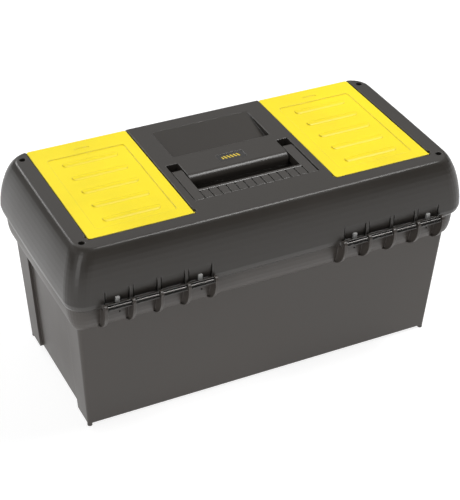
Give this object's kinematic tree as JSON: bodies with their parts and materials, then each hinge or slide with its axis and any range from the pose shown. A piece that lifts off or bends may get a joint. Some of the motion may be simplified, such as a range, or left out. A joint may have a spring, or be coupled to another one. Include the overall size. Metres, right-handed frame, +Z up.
{
  "type": "toolbox",
  "caption": "Carpenter's plastic toolbox: tapered tub, domed hinged lid with lidded organiser wells, folding carry handle, latches and a lift-out tote tray.",
  "frame": {"origin": "middle of the footprint, on the surface that the four pegs stand on", "axes": "+X along the length, towards the left end as seen from the hinge side; +Y towards the hinge side, so the latches are at -Y; +Z up"},
  "size_m": [0.4904, 0.2608, 0.248],
  "materials": {
    "black_plastic": "fine moulded texture, satin sheen",
    "yellow_plastic": "smooth, slightly glossy",
    "grey_plastic": "plain moulded",
    "badge": "printed plate with a plain yellow pattern",
    "steel": "bright zinc-plated"
  },
  "bodies": {
    "base": {"base_tub": "black_plastic", "hinge_pin_left": "steel", "hinge_pin_right": "steel", "catch_plate_left": "steel", "catch_plate_right": "steel", "catch_rivets_left": "steel", "catch_rivets_right": "steel"},
    "lid": {"lid_shell": "black_plastic", "hinge_clips_left": "grey_plastic", "hinge_clips_right": "grey_plastic", "badge_plate": "badge", "handle_pin_left": "steel", "handle_pin_right": "steel", "dividers_left": "grey_plastic", "dividers_right": "grey_plastic", "latch_pin_left": "steel", "latch_pin_right": "steel", "organiser_left": "black_plastic", "organiser_right": "black_plastic", "handle_pocket": "black_plastic"},
    "handle": {"handle": "black_plastic"},
    "cover_left": {"cover_left": "yellow_plastic"},
    "cover_right": {"cover_right": "yellow_plastic"},
    "latch_left": {"latch_left": "steel"},
    "latch_right": {"latch_right": "steel"},
    "tray": {"tote_tray": "grey_plastic", "tray_handle": "yellow_plastic", "tray_dividers": "grey_plastic"}
  },
  "joints": [
    {"name": "lid_hinge", "type": "hinge", "parent": "base", "child": "lid", "pos_m": [0, 0.126, 0.183], "axis": [-1, 0, 0], "range_deg": [0, 100]},
    {"name": "handle_hinge", "type": "hinge", "parent": "lid", "child": "handle", "pos_m": [0, 0.003, 0.2423], "axis": [1, 0, 0], "range_deg": [0, 100]},
    {"name": "cover_left_hinge", "type": "hinge", "parent": "lid", "child": "cover_left", "pos_m": [0.1475, 0.0825, 0.2435], "axis": [-1, 0, 0], "range_deg": [0, 110]},
    {"name": "cover_right_hinge", "type": "hinge", "parent": "lid", "child": "cover_right", "pos_m": [-0.1475, 0.0825, 0.2435], "axis": [-1, 0, 0], "range_deg": [0, 110]},
    {"name": "latch_left_pivot", "type": "hinge", "parent": "lid", "child": "latch_left", "pos_m": [0.15, -0.122, 0.192], "axis": [-1, 0, 0], "range_deg": [-4, 95]},
    {"name": "latch_right_pivot", "type": "hinge", "parent": "lid", "child": "latch_right", "pos_m": [-0.15, -0.122, 0.192], "axis": [-1, 0, 0], "range_deg": [-4, 95]},
    {"name": "tray_lift", "type": "slide", "parent": "base", "child": "tray", "axis": [0, 0, 1], "range_m": [0, 0.03]}
  ]
}
